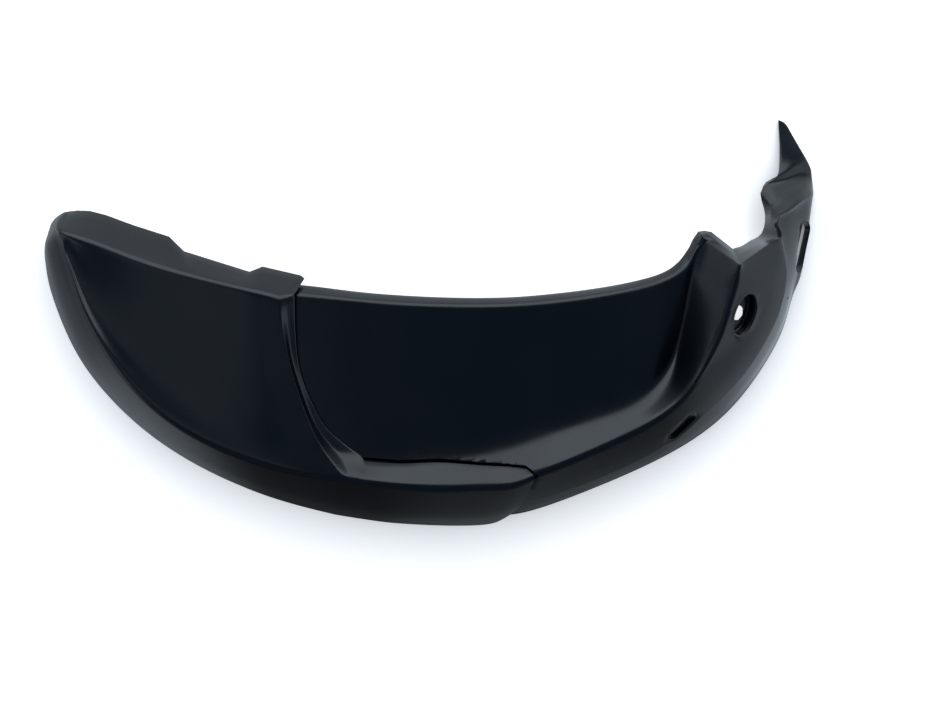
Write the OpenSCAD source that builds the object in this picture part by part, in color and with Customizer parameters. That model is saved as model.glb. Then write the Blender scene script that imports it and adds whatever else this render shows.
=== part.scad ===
// Motorcycle front mudguard, one side half: a recessed main panel and the end cover that overlaps it.
// It lies on its split plane, Z = 0, with the outer side up. X runs along the wheel arc, Y towards the axle.

/* [Overall] */
// Length along X, from tip to tip
guard_l = 603; // [510:1:690]
// Size along Y, from the crown to the upper tip
guard_d = 319; // [270:1:370]
// Height of the outermost ridge over the split plane, before the ridge is rounded
guard_h = 100; // [85:1:120]

/* [Walls] */
// Wall thickness of the main panel
panel_wall = 3; // [2:0.1:3.4]
// Wall thickness of the end cover
cover_wall = 3; // [2:0.1:3.4]
// Rounding along the outermost ridge
ridge_round = 6; // [2:0.5:8]
// Rounding along the rim and the cover's top crease
rim_round = 4; // [1:0.5:5]
// Rounding of the hollow at the foot of the recessed wall
valley_round = 11; // [4:0.5:14]
// Depth of the joggle in front of the end plate
joggle_step = 2; // [0.5:0.1:3]

/* [Fixing holes] */
// Bore for the main fixing screw
fix_bore = 11; // [6:0.1:12]
// Length of the sunk oval seat around the main bore
fix_seat_l = 31; // [24:0.5:34]
// Width of that seat
fix_seat_w = 19; // [15:0.5:21]
// Depth of that seat below the plate
fix_seat_deep = 7.5; // [6:0.5:14]
// Wall around the sunk seat
fix_boss_wall = 3; // [2:0.1:4]
// Width of the lower slot
slot_w = 10.5; // [5:0.5:11]
// Length of the lower slot, end to end
slot_l = 26; // [16:0.5:29]
// Width of the slot in the end plate
end_slot_w = 13; // [8:0.5:14.5]
// Length of the slot in the end plate, end to end
end_slot_l = 40; // [28:1:44]
// Height of the collar behind the lower slot
slot_collar = 3; // [1:0.5:5]
// Height of the collar behind the slot in the end plate
end_slot_collar = 3; // [1:0.5:6]
// Wall around the slots' collars
collar_wall = 2.4; // [1.5:0.1:4]
// Locating pin hole beside the end plate
pin_bore = 2.2; // [1.5:0.1:4]

/* [Cover screws] */
// Thread diameter of the self-tapping screws that hold the cover
screw_d = 4; // [3:0.1:5]
// Length of a screw under its head
screw_l = 12; // [8:0.5:13]
// Pan head diameter
head_d = 8.4; // [7:0.1:10]
// Pan head height
head_t = 2.8; // [2:0.1:4]
// Diameter of the screw bosses inside the cover
boss_d = 10; // [8:0.5:12]
// Free play of a screw in the panel's hole, on the diameter
screw_play = 0.6; // [0.3:0.1:1.2]
// Seat clearance between cover and panel
seat_gap = 0.3; // [0.2:0.05:0.6]

/* [Hidden] */
$fn = 48;
nominal = [603, 319, 100];
size = [guard_l / nominal.x, guard_d / nominal.y, guard_h / nominal.z];
// Middle of the part in the tables below
middle = [-4.6, -0.6, 0];
row_steps = 3;
// Share of its height that the inner side keeps where the sheet thins out over the split plane
thin_edge = 0.4;
// The bend of the cover's side wall: its share of the way across, and of the drop
side_share = 0.3;
side_drop = 0.7;
// Sinks one solid into another where the two are moulded as one
root = 0.6;
// Floor left under the sunk seat of the main bore
seat_floor = 2.5;
// Softened mouths of the bore and of the slots
seat_mouth = 1.6;
slot_mouth = 1;
// Flat pad under each screw head, and how far it stands out around the head
pad_t = 1.6;
pad_margin = 1.5;
// Gap around a screw's thread in its boss, and the room left past its point
thread_gap = 0.1;
tip_room = 0.6;
// Places on the main panel: how many table rows along it, and how many grid columns across it
fix_at = [14.55, 12];
slot_at = [10.6, 13.6];
end_slot_at = [16.3, 17.4];
pin_at = [15.05, 15.7];
screw_at = [[0.35, 3.4], [0.95, 4], [0.6, 5.1]];
// Turn of each slot against the panel's length
slot_turn = 14;
end_slot_turn = -8;

// Rows of the main panel from its hidden left end to the peak and the plate's top corner.
// Each row runs across it: rim back, rim front, foot of the wall, ridge, mid band, limb, crown.
PANEL = [
    [[-162, 34, 66], [-163, 27, 77], [-157, -76, 79], [-154, -83, 90], [-161, -97, 58], [-169, -103, 24],
        [-170, -104, 0]],
    [[-128, 33, 66], [-129, 26, 77], [-122, -88, 80], [-121, -95, 91], [-129, -113, 58], [-137, -123, 24],
        [-137, -124, 0]],
    [[-93, 31, 66], [-99, 24, 77], [-86, -100, 82], [-84, -107, 93], [-92, -124, 58], [-101, -134, 24],
        [-101, -135, 0]],
    [[-63, 26, 66], [-62, 21, 77], [-49, -99, 82], [-50, -111, 94], [-55, -132, 58], [-62, -146, 24],
        [-62, -147, 0]],
    [[-26, 23, 66], [-25, 17, 77], [-8, -96, 81], [-10, -113, 94], [-14, -137, 58], [-19, -152, 24],
        [-19, -153, 0]],
    [[19, 21, 66], [19, 16, 76], [31, -89, 79], [29, -114, 94], [29, -138, 58], [28, -154, 24],
        [28, -155, 0]],
    [[48, 21.5, 65], [48, 16, 75], [54, -84, 77], [64, -110, 93], [62, -130, 60], [52, -148, 26],
        [44, -153, 0]],
    [[64, 22, 64], [64, 17, 74], [71, -81, 77], [76.5, -107.5, 94], [72, -134, 58], [64, -152, 23],
        [56, -154, 0]],
    [[97, 25, 62], [95, 19, 72], [98, -73, 75], [106, -95, 97], [114, -119, 58], [120, -131, 20],
        [120, -133, 0]],
    [[135, 30, 58], [132, 25, 68], [130, -63, 72], [137, -82, 97], [151, -103, 58], [160, -114, 20],
        [161, -116.5, 0]],
    [[160, 36, 54], [157, 30, 63], [152, -57, 68], [158, -72, 96], [177, -88, 57], [188, -99.5, 20],
        [189, -102, 0]],
    [[174, 40, 50], [171, 34, 58], [166, -49, 63], [176, -59, 93], [197, -72, 56], [212.5, -84, 20],
        [213.5, -85, 0]],
    [[184, 48, 47], [182, 39, 56], [178, -32, 58], [187, -45, 91], [216, -55, 55], [233.5, -64, 20],
        [234.5, -64, 0]],
    [[188, 53, 46], [189, 44, 54], [184, -13, 55], [198, -27, 89], [235, -33, 54], [253.5, -36.5, 20],
        [254.5, -36.5, 0]],
    [[192, 59, 45], [192, 49, 53], [189, 12, 53], [209, -4, 87], [251, -6, 53], [268.5, -8, 20],
        [269.5, -8, 0]],
    [[195, 65, 44], [196, 57, 52], [194, 38, 52], [216, 20, 86], [261, 19, 52], [277.5, 20, 18],
        [279.5, 20, 0]],
    [[197, 68, 44], [199, 62, 52], [198, 50, 52], [220, 34, 85], [263, 44, 53], [285.5, 44, 18],
        [288.5, 44, 0]]
];
// The end row: the peak, then along the plate's top crease to the joggle, the end plate and the crown.
PEAK = [[199, 71, 44], [201, 68, 52], [204, 63, 53]];
CREASE = [[223, 46, 84], [235, 53, 74], [247, 60, 64], [260, 66, 54], [258, 81, 48], [271, 88, 36],
    [284, 96, 23], [294, 101, 10], [297, 104, 0]];
// Back of the blunt peak: its middle, and its end where the flange along the end row begins.
PEAK_MIDDLE = [203.6, 71.6, 43.4];
PEAK_BACK = [209, 70.8, 44];
// Top flange behind the crease, two rows, and the tip above the end plate, whose rows start further right.
FLANGE = [
    [[223, 52, 70], [233, 57, 62], [243, 62, 52], [255, 68, 42], [255, 85, 39], [262, 96, 32],
        [277, 103, 21], [289, 109, 9], [296, 112, 0]],
    [[223, 58, 56], [231, 60, 49], [239, 64, 40], [250, 70, 30], [253, 84, 28], [250, 103, 26],
        [267, 110, 18], [282, 116, 8], [295, 120, 0]]
];
TIP = [
    [[263, 113.6, 19], [274, 119, 13], [284, 124, 6], [292, 127, 0]],
    [[267.3, 125, 12], [275, 129, 8], [281.5, 132, 4], [287, 135.5, 0]],
    [[268.3, 141, 7], [273.5, 143, 4.5], [277.8, 144.4, 2.2], [281.2, 145, 0]],
    [[267.8, 159, 3], [270, 158.4, 2], [272.6, 157.4, 1], [275.4, 155, 0]]
];
// Rows of the end cover from its rounded nose to the right edge of its face.
// Each row: flange back, crease, three across the face, ridge, mid band, limb, crown.
COVER = [
    [[-282, 85.6, 41], [-286, 83.8, 39], [-289.5, 81.7, 37], [-292.7, 79.4, 34], [-295, 77, 32],
        [-297, 74.4, 29], [-301.5, 69.3, 20], [-304.5, 65.2, 9], [-305, 61.5, 0]],
    [[-280, 85.9, 42], [-283, 78, 57], [-284, 76, 57], [-285, 75, 56], [-285, 74, 56], [-286, 72, 55],
        [-296.5, 63.5, 42], [-302.5, 58, 24], [-306, 56, 0]],
    [[-277.5, 86.4, 41], [-277, 71, 69], [-277, 70, 69], [-277, 69, 69], [-277, 68, 69], [-276, 66, 68],
        [-290.5, 59, 55], [-299.3, 51, 34], [-306, 49, 0]],
    [[-271, 86.9, 43], [-271, 69, 71], [-270, 62, 71], [-270, 54, 72], [-269, 49, 73], [-268, 43, 76],
        [-285, 38, 58], [-298, 32, 33], [-305, 31, 0]],
    [[-261, 86.5, 46], [-260, 65, 75], [-261, 52, 74], [-261, 38, 75], [-260, 28, 77], [-259, 18, 82],
        [-278, 14, 60], [-291, 10, 33], [-297, 9, 0]],
    [[-247.6, 83.2, 50], [-244, 60, 79], [-246, 38, 78], [-247, 18, 79], [-248, 5, 82], [-246, -7, 87],
        [-266, -16, 60], [-279, -21, 32], [-284, -22, 0]],
    [[-226, 75.5, 54], [-222, 51, 83], [-224, 22, 82], [-226, -5, 83], [-228, -20, 86], [-228, -34, 91],
        [-246, -43, 60], [-260, -50, 30], [-264, -52, 0]],
    [[-198.5, 66.9, 58], [-195, 42, 86], [-198, 6, 85], [-200, -27, 86], [-201, -45, 89], [-203, -61, 94],
        [-218, -73, 60], [-230, -82, 27], [-234, -84, 0]],
    [[-186.5, 56, 63], [-170, 36, 88], [-170, -6, 88], [-170, -44, 90], [-170, -64, 92], [-170, -82, 96],
        [-183, -97, 60], [-193, -108, 25], [-196, -110, 0]],
    [[-137, 40.8, 69], [-144, 30, 90], [-142, -16, 90], [-139, -57, 92], [-136, -78, 95], [-133, -97, 98],
        [-144, -116, 60], [-153, -128, 23], [-155, -129, 0]],
    [[-128, 44.6, 64], [-124, 25, 90], [-121, -23, 90], [-112, -67, 92], [-105, -87, 95], [-97, -105, 100],
        [-107, -128, 60], [-115, -141, 22], [-116, -142, 0]],
    [[-99.5, 38, 64], [-113, 22, 90], [-105, -25, 90], [-90, -71, 92], [-77, -93, 95], [-63, -110, 100],
        [-71, -137, 60], [-80, -150, 22], [-80, -151, 0]]
];
// The side wall's foot, from the flange back down to the start of the tongue.
FOOT = [[-96.8, 35.7, 64.6], [-102, 24.4, 83], [-99, -30, 82], [-79, -74, 84], [-52, -97, 87],
    [-50, -112, 100], [-55, -139, 60], [-62, -153, 22], [-62, -154, 0]];
// The tongue, each row like the end of the foot's.
TONGUE = [
    [[-26, -99, 88], [-26, -115, 100], [-30, -143, 60], [-35, -157, 20], [-35, -158, 0]],
    [[4, -98, 89], [5, -117, 100], [3, -145, 60], [1, -159, 20], [1, -160, 0]],
    [[34, -100, 90], [34, -116, 100], [32, -144, 60], [30, -159, 20], [30, -160, 0]],
    [[54, -101, 92], [57, -115, 100], [52, -141, 60], [45, -157, 20], [43, -158, 0]],
    [[67, -102, 94], [74, -108, 100], [65, -134, 64], [54, -150, 32], [44, -158, 0]]
];

function lerp(a, b, t) = a + (b - a) * t;
function sized(p) = [(p.x - middle.x) * size.x, (p.y - middle.y) * size.y, p.z * size.z];
function unit(v) = norm(v) < 1e-9 ? [0, 0, 1] : v / norm(v);
function curve(p0, p1, p2, p3, t) = 0.5 * (2 * p1 + (p2 - p0) * t + (2 * p0 - 5 * p1 + 4 * p2 - p3) * t * t
    + (3 * p1 - p0 - 3 * p2 + p3) * t * t * t);
// Three points that round the corner at b between a and c
function rounded(a, b, c, r) =
    let (pa = b + unit(a - b) * min(r, 0.45 * norm(a - b)),
         pc = b + unit(c - b) * min(r, 0.45 * norm(c - b)))
    [pa, (pa + 2 * b + pc) / 4, pc];
// Rows between the given ones, on smooth curves that stop at both ends
function smooth_rows(rows, steps) =
    let (n = len(rows) - 1)
    [for (i = [0 : n - 1]) for (s = [0 : steps - 1])
        [for (j = [0 : len(rows[0]) - 1])
            curve(rows[max(0, i - 1)][j], rows[i][j], rows[i + 1][j], rows[min(n, i + 2)][j], s / steps)]];

// How far the plate steps down behind the joggle, growing towards its top edge
function joggle_at(row) = joggle_step * min(1, max(0, (row - 14) / 1.5));

function panel_section(row) =
    let (q = [for (v = PANEL[row]) sized(v)], down = [-0.7, 0, -0.7] * joggle_at(row),
         rim = rounded(q[0], q[1], q[2], rim_round), valley = rounded(q[1], q[2], q[3], valley_round))
    concat(
        [q[0]], rim, [lerp(rim[2], valley[0], 0.35), lerp(rim[2], valley[0], 0.7)], valley,
        rounded(q[2], q[3], q[4], ridge_round),
        [curve(q[3], q[3], q[4], q[5], 0.4), curve(q[3], q[3], q[4], q[5], 0.7), q[4],
            curve(q[3], q[4], q[5], q[6], 0.14) + down, curve(q[3], q[4], q[5], q[6], 0.45) + down,
            curve(q[3], q[4], q[5], q[6], 0.75) + down / 2, q[5], q[6]]
    );
function crease_section() =
    let (t = [for (v = PEAK) sized(v)], c = [for (v = CREASE) sized(v)])
    concat(
        [t[0]], rounded(t[0], t[1], t[2], rim_round),
        [lerp(t[1], t[2], 0.5), lerp(t[1], t[2], 0.75), t[2]],
        [for (k = [0.06, 0.15, 0.85]) lerp(t[2], c[0], k)],
        [c[0], lerp(c[0], c[1], 0.2)], [for (k = [1 : 8]) c[k]]
    );
// The flange runs along the whole end row: share is how far its row lies from the crease to its back edge
function flange_section(p, share) =
    let (c = [for (v = p) sized(v)], peak = lerp(sized(PEAK[1]), sized(PEAK_BACK), share),
         back = lerp(sized(PEAK[0]), sized(PEAK_MIDDLE), share))
    concat([for (k = [0, 0.5, 0.8]) lerp(back, peak, k)],
        [for (k = [0, 0.12, 0.18, 0.24, 0.29, 0.36, 0.87]) lerp(peak, c[0], k)],
        [c[0], lerp(c[0], c[1], 0.2)], [for (k = [1 : 8]) c[k]]);
function tip_section(p) =
    let (c = [for (v = p) sized(v)])
    concat([for (k = [0 : 15]) c[0]], c);

function cover_section(p) =
    let (q = [for (v = p) sized(v)])
    concat(
        [q[0]], rounded(q[0], q[1], q[2], rim_round),
        [curve(q[1], q[1], q[2], q[3], 0.55), q[2], curve(q[1], q[2], q[3], q[4], 0.5), q[3],
            curve(q[2], q[3], q[4], q[5], 0.5), q[4]],
        rounded(q[4], q[5], q[6], ridge_round),
        [curve(q[5], q[5], q[6], q[7], 0.55), q[6], curve(q[5], q[6], q[7], q[8], 0.5), q[7], q[8]]
    );
function foot_section() =
    let (q = [for (v = FOOT) sized(v)])
    concat(
        [q[0], lerp(q[1], q[0], 0.18), lerp(q[1], q[0], 0.08), q[1], curve(q[1], q[1], q[2], q[3], 0.55),
            q[2], curve(q[1], q[2], q[3], q[4], 0.5), q[3], curve(q[2], q[3], q[4], q[5], 0.5), q[4]],
        rounded(q[4], q[5], q[6], ridge_round),
        [curve(q[5], q[5], q[6], q[7], 0.55), q[6], curve(q[5], q[6], q[7], q[8], 0.5), q[7], q[8]]
    );
function tongue_section(p) =
    let (q = [for (v = p) sized(v)])
    concat(
        [for (k = [0 : 9]) q[0]],
        rounded(q[0], q[1], q[2], ridge_round),
        [curve(q[1], q[1], q[2], q[3], 0.55), q[2], curve(q[1], q[2], q[3], q[4], 0.5), q[3], q[4]]
    );

// The panel's grid: smooth rows up to the crease row, then the flange and the tip
panel_rows = len(PANEL) * row_steps;
panel_grid = concat(
    smooth_rows(concat([for (i = [0 : len(PANEL) - 1]) panel_section(i)], [crease_section()]), row_steps),
    [crease_section()], [for (k = [0, 1]) flange_section(FLANGE[k], (k + 1) / 2)],
    [for (p = TIP) tip_section(p)]
);
tip_from = 16;
panel_cell = function(i, j) i < panel_rows + len(FLANGE) || j >= tip_from;

// The cover's grid: smooth rows over its face, the side wall, then the tongue
face_rows = (len(COVER) - 1) * row_steps;
tongue_from = 9;
cover_face = [for (p = COVER) cover_section(p)];
cover_edge = cover_face[len(cover_face) - 1];
// The side wall drops steeply at the face and then runs out flatter to its foot, but not at the flange
function side_point(a, b, j) =
    let (share = j < 4 ? 0.5 : side_share, drop = j < 4 ? 0.5 : side_drop)
    [lerp(a.x, b.x, share), lerp(a.y, b.y, share), lerp(a.z, b.z, drop)];
cover_grid = concat(
    smooth_rows(cover_face, row_steps), [cover_edge],
    [[for (j = [0 : len(cover_edge) - 1]) side_point(cover_edge[j], foot_section()[j], j)]],
    smooth_rows(concat([foot_section()], [for (p = TONGUE) tongue_section(p)]), 2),
    [tongue_section(TONGUE[len(TONGUE) - 1])]
);
cover_cell = function(i, j) i < face_rows + 2 || j >= tongue_from;

// A moulded sheet: the grid is its outer side, and the inner side lies one wall below it
module sheet(grid, cell, wall) {
    rows = len(grid) - 1;
    cols = len(grid[0]) - 1;
    function is_cell(i, j) = i >= 0 && j >= 0 && i < rows && j < cols && cell(i, j);
    function face_normal(i, j) =
        unit(cross(grid[i][j + 1] - grid[i + 1][j], grid[i + 1][j + 1] - grid[i][j]));
    function inner(i, j) =
        let (near = [for (a = [i - 1, i]) for (b = [j - 1, j]) if (is_cell(a, b)) face_normal(a, b)],
             n = len(near) == 0 ? [0, 0, 1] : unit(sum_of(near)),
             p = grid[i][j] - n * wall / max(0.75, len(near) == 0 ? 1 : min([for (k = near) k * n])))
        [p.x, p.y, j == cols ? 0 : max(thin_edge * grid[i][j].z, p.z)];
    function sum_of(list, k = 0) = k == len(list) ? [0, 0, 0] : list[k] + sum_of(list, k + 1);
    function top(i, j) = i * (cols + 1) + j;
    function low(i, j) = (rows + 1) * (cols + 1) + top(i, j);
    function rim(a, b, c, d) = [[b, a, c], [b, c, d]];
    cells = [for (i = [0 : rows - 1]) for (j = [0 : cols - 1]) if (cell(i, j)) [i, j]];
    polyhedron(
        points = concat([for (r = grid) for (p = r) p],
            [for (i = [0 : rows]) for (j = [0 : cols]) inner(i, j)]),
        faces = concat(
            [for (c = cells) let (i = c[0], j = c[1])
                each [[top(i, j), top(i + 1, j), top(i + 1, j + 1)],
                    [top(i, j), top(i + 1, j + 1), top(i, j + 1)],
                    [low(i, j), low(i + 1, j + 1), low(i + 1, j)],
                    [low(i, j), low(i, j + 1), low(i + 1, j + 1)]]],
            [for (c = cells) let (i = c[0], j = c[1]) if (!is_cell(i, j - 1))
                each rim(top(i, j), top(i + 1, j), low(i, j), low(i + 1, j))],
            [for (c = cells) let (i = c[0], j = c[1]) if (!is_cell(i + 1, j))
                each rim(top(i + 1, j), top(i + 1, j + 1), low(i + 1, j), low(i + 1, j + 1))],
            [for (c = cells) let (i = c[0], j = c[1]) if (!is_cell(i, j + 1))
                each rim(top(i + 1, j + 1), top(i, j + 1), low(i + 1, j + 1), low(i, j + 1))],
            [for (c = cells) let (i = c[0], j = c[1]) if (!is_cell(i - 1, j))
                each rim(top(i, j + 1), top(i, j), low(i, j + 1), low(i, j))]
        )
    );
}

// A point of a grid between its own points
function grid_point(g, i, j) =
    let (a = floor(i), b = floor(j), s = i - a, t = j - b)
    lerp(lerp(g[a][b], g[a + 1][b], s), lerp(g[a][b + 1], g[a + 1][b + 1], s), t);
function panel_point(at, di = 0, dj = 0) = grid_point(panel_grid, at[0] * row_steps + di, at[1] + dj);
// A rigid frame on the panel's outer side: X along its length, Z straight out
function panel_frame(at) =
    let (p = panel_point(at), along = unit(panel_point(at, 1) - panel_point(at, -1)),
         out = unit(cross(panel_point(at, 0, 0.5) - panel_point(at, 0, -0.5), along)),
         side = cross(out, along))
    [[along.x, side.x, out.x, p.x], [along.y, side.y, out.y, p.y], [along.z, side.z, out.z, p.z],
        [0, 0, 0, 1]];
module on_panel(at) {
    multmatrix(panel_frame(at)) children();
}
// Height of the cover's outer side over a place
function cover_z(p) =
    let (near = [for (r = cover_grid) for (q = r) [norm([q.x - p.x, q.y - p.y]), q.z]],
         best = min([for (a = near) a[0]]))
    [for (a = near) if (a[0] == best) a[1]][0];

module stadium(l, w) {
    square([l - w, w], center = true);
    for (x = [w - l, l - w]) translate([x / 2, 0]) circle(d = w);
}
// A long hole of a given depth below the outer side, with a flared mouth
module pocket(l, w, depth, mouth) {
    reach = (l - w) / 2;
    flare = w / 2 + 2 * mouth;
    translate([0, 0, -depth]) linear_extrude(depth + panel_wall) stadium(l, w);
    for (x = [-reach, reach]) translate([x, 0, -mouth]) cylinder(r1 = w / 2, r2 = flare, h = 2 * mouth);
    translate([-reach, 0, 0]) rotate([90, 0, 90]) linear_extrude(2 * reach)
        polygon([[-w / 2, -mouth], [w / 2, -mouth], [flare, mouth], [-flare, mouth]]);
}
// The raised wall around a pocket on the inner side, of height h
module collar(l, w, h, wall) {
    translate([0, 0, -panel_wall - h]) linear_extrude(h + root) stadium(l + 2 * wall, w + 2 * wall);
}
// The main bore with its sunk seat
module fix_cut() {
    translate([0, 0, -fix_seat_deep - seat_floor - root])
        cylinder(d = fix_bore, h = fix_seat_deep + seat_floor);
    pocket(fix_seat_l, fix_seat_w, fix_seat_deep, seat_mouth);
}
// A slot through the wall and the collar of height h behind it
module slot_cut(l, w, h) {
    pocket(l, w, panel_wall + h + root, slot_mouth);
}
// Everything at a cover screw stands on its own upright axis, at the height of the panel's outer side
module at_screw(k) {
    translate(panel_point(screw_at[k])) children();
}

module main_panel() {
    color([0.1, 0.11, 0.13]) difference() {
        union() {
            sheet(panel_grid, panel_cell, panel_wall);
            on_panel(fix_at)
                collar(fix_seat_l, fix_seat_w, fix_seat_deep + seat_floor - panel_wall, fix_boss_wall);
            on_panel(slot_at) rotate(slot_turn) collar(slot_l, slot_w, slot_collar, collar_wall);
            on_panel(end_slot_at) rotate(end_slot_turn)
                collar(end_slot_l, end_slot_w, end_slot_collar, collar_wall);
            for (k = [0 : len(screw_at) - 1]) at_screw(k) translate([0, 0, -panel_wall - pad_t])
                cylinder(d = head_d + 2 * pad_margin, h = pad_t + root);
        }
        on_panel(fix_at) fix_cut();
        on_panel(slot_at) rotate(slot_turn) slot_cut(slot_l, slot_w, slot_collar);
        on_panel(end_slot_at) rotate(end_slot_turn) slot_cut(end_slot_l, end_slot_w, end_slot_collar);
        on_panel(pin_at) translate([0, 0, -2 * panel_wall]) cylinder(d = pin_bore, h = 3 * panel_wall);
        for (k = [0 : len(screw_at) - 1]) at_screw(k) translate([0, 0, -2 * panel_wall - pad_t])
            cylinder(d = screw_d + screw_play, h = 3 * panel_wall + pad_t);
    }
}
module end_cover() {
    boss_bore = screw_l - panel_wall - pad_t + tip_room;
    color([0.12, 0.13, 0.15]) difference() {
        union() {
            sheet(cover_grid, cover_cell, cover_wall);
            for (k = [0 : len(screw_at) - 1]) at_screw(k) translate([0, 0, seat_gap])
                cylinder(d = boss_d, h = cover_z(panel_point(screw_at[k])) - panel_point(screw_at[k]).z
                    - cover_wall / 2 - seat_gap);
        }
        for (k = [0 : len(screw_at) - 1]) at_screw(k) cylinder(d = screw_d + 2 * thread_gap, h = boss_bore);
    }
}
module cover_screw(k) {
    color([0.55, 0.57, 0.6]) at_screw(k) translate([0, 0, -panel_wall - pad_t]) {
        rotate_extrude() polygon([[0, -head_t], [0.3 * head_d, -head_t], [0.45 * head_d, -0.7 * head_t],
            [head_d / 2, -0.3 * head_t], [head_d / 2, 0], [0, 0]]);
        cylinder(d = screw_d, h = screw_l - screw_d / 2);
        translate([0, 0, screw_l - screw_d / 2]) cylinder(d1 = screw_d, d2 = screw_d / 3, h = screw_d / 2);
    }
}
module cover_screw_1() {
    cover_screw(0);
}
module cover_screw_2() {
    cover_screw(1);
}
module cover_screw_3() {
    cover_screw(2);
}

main_panel();
end_cover();
cover_screw_1();
cover_screw_2();
cover_screw_3();
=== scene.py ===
"""Looks of a motorcycle front mudguard half: two moulded black shells, their screws, and the stage."""

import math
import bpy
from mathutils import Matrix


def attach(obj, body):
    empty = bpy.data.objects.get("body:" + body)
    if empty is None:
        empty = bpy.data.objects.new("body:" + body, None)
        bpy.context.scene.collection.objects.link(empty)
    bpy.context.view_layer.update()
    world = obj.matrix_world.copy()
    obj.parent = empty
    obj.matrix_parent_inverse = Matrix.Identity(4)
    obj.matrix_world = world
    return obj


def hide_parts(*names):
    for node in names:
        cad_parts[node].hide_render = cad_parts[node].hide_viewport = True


bl_info = {
    "name": "Front Mudguard Half",
    "version": (1, 0, 0),
    "blender": (4, 5, 0),
    "location": "View3D > Sidebar > Mudguard",
    "description": "Builds the recessed main panel, the end cover and the cover screws of a mudguard half",
    "category": "Object",
}

import bmesh
import bpy
import numpy as np
from mathutils import Matrix, Vector

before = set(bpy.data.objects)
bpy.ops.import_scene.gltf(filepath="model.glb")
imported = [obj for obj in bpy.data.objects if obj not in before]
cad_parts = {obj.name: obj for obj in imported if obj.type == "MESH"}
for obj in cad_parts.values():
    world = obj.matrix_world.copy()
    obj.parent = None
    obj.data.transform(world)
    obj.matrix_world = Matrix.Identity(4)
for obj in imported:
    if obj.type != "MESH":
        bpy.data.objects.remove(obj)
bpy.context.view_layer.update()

MM = 0.001
MIDDLE = np.array([-4.6, -0.6, 0.0])

# Rows of the main panel, in mm, from its hidden left end to the peak.
# Each row: rim back, rim front, foot of the wall, ridge, mid band, limb, crown.
PANEL = [
    [(-162, 34, 66), (-163, 27, 77), (-157, -76, 79), (-154, -83, 90), (-161, -97, 58), (-169, -103, 24),
     (-170, -104, 0)],
    [(-128, 33, 66), (-129, 26, 77), (-122, -88, 80), (-121, -95, 91), (-129, -113, 58), (-137, -123, 24),
     (-137, -124, 0)],
    [(-93, 31, 66), (-99, 24, 77), (-86, -100, 82), (-84, -107, 93), (-92, -124, 58), (-101, -134, 24),
     (-101, -135, 0)],
    [(-63, 26, 66), (-62, 21, 77), (-49, -99, 82), (-50, -111, 94), (-55, -132, 58), (-62, -146, 24),
     (-62, -147, 0)],
    [(-26, 23, 66), (-25, 17, 77), (-8, -96, 81), (-10, -113, 94), (-14, -137, 58), (-19, -152, 24),
     (-19, -153, 0)],
    [(19, 21, 66), (19, 16, 76), (31, -89, 79), (29, -114, 94), (29, -138, 58), (28, -154, 24),
     (28, -155, 0)],
    [(48, 21.5, 65), (48, 16, 75), (54, -84, 77), (64, -110, 95), (62, -130, 60), (52, -148, 26),
     (44, -153, 0)],
    [(64, 22, 64), (64, 17, 74), (71, -81, 77), (76.5, -107.5, 98), (72, -134, 58), (64, -152, 23),
     (56, -154, 0)],
    [(97, 25, 62), (95, 19, 72), (98, -73, 75), (106, -95, 97), (114, -119, 58), (120, -131, 20),
     (120, -133, 0)],
    [(135, 30, 58), (132, 25, 68), (130, -63, 75), (137, -82, 91.5), (151, -103, 58), (160, -114, 20),
     (161, -116.5, 0)],
    [(160, 36, 54), (157, 30, 63), (152, -57, 73), (158, -72, 88.5), (177, -88, 57), (188, -99.5, 20),
     (189, -102, 0)],
    [(174, 40, 50), (171, 34, 58), (166, -49, 66), (176, -59, 88), (197, -72, 56), (212.5, -84, 20),
     (213.5, -85, 0)],
    [(184, 48, 47), (182, 39, 56), (178, -32, 58), (187, -45, 91), (216, -55, 55), (233.5, -64, 20),
     (234.5, -64, 0)],
    [(188, 53, 46), (189, 44, 54), (184, -13, 55), (198, -27, 89), (235, -33, 54), (253.5, -36.5, 20),
     (254.5, -36.5, 0)],
    [(192, 59, 45), (192, 49, 53), (189, 12, 53), (209, -4, 87), (251, -6, 53), (268.5, -8, 20),
     (269.5, -8, 0)],
    [(195, 65, 44), (196, 57, 52), (194, 38, 52), (216, 20, 86), (261, 19, 52), (277.5, 20, 18),
     (279.5, 20, 0)],
    [(197, 68, 44), (199, 62, 52), (198, 50, 52), (220, 34, 85), (263, 44, 53), (285.5, 44, 18),
     (288.5, 44, 0)],
]
# The end row: the peak, then along the plate's top crease to the joggle, the end plate and the crown.
PEAK = [(199, 71, 44), (201, 68, 52), (204, 63, 53)]
CREASE = [(223, 46, 84), (235, 53, 74), (247, 60, 64), (260, 66, 54), (258, 81, 48), (271, 88, 36),
          (284, 96, 23), (294, 101, 10), (297, 104, 0)]
# The blunt peak's back: its middle, and its end where the flange along the end row begins.
PEAK_MIDDLE = (203.6, 71.6, 43.4)
PEAK_BACK = (209, 70.8, 44)
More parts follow.
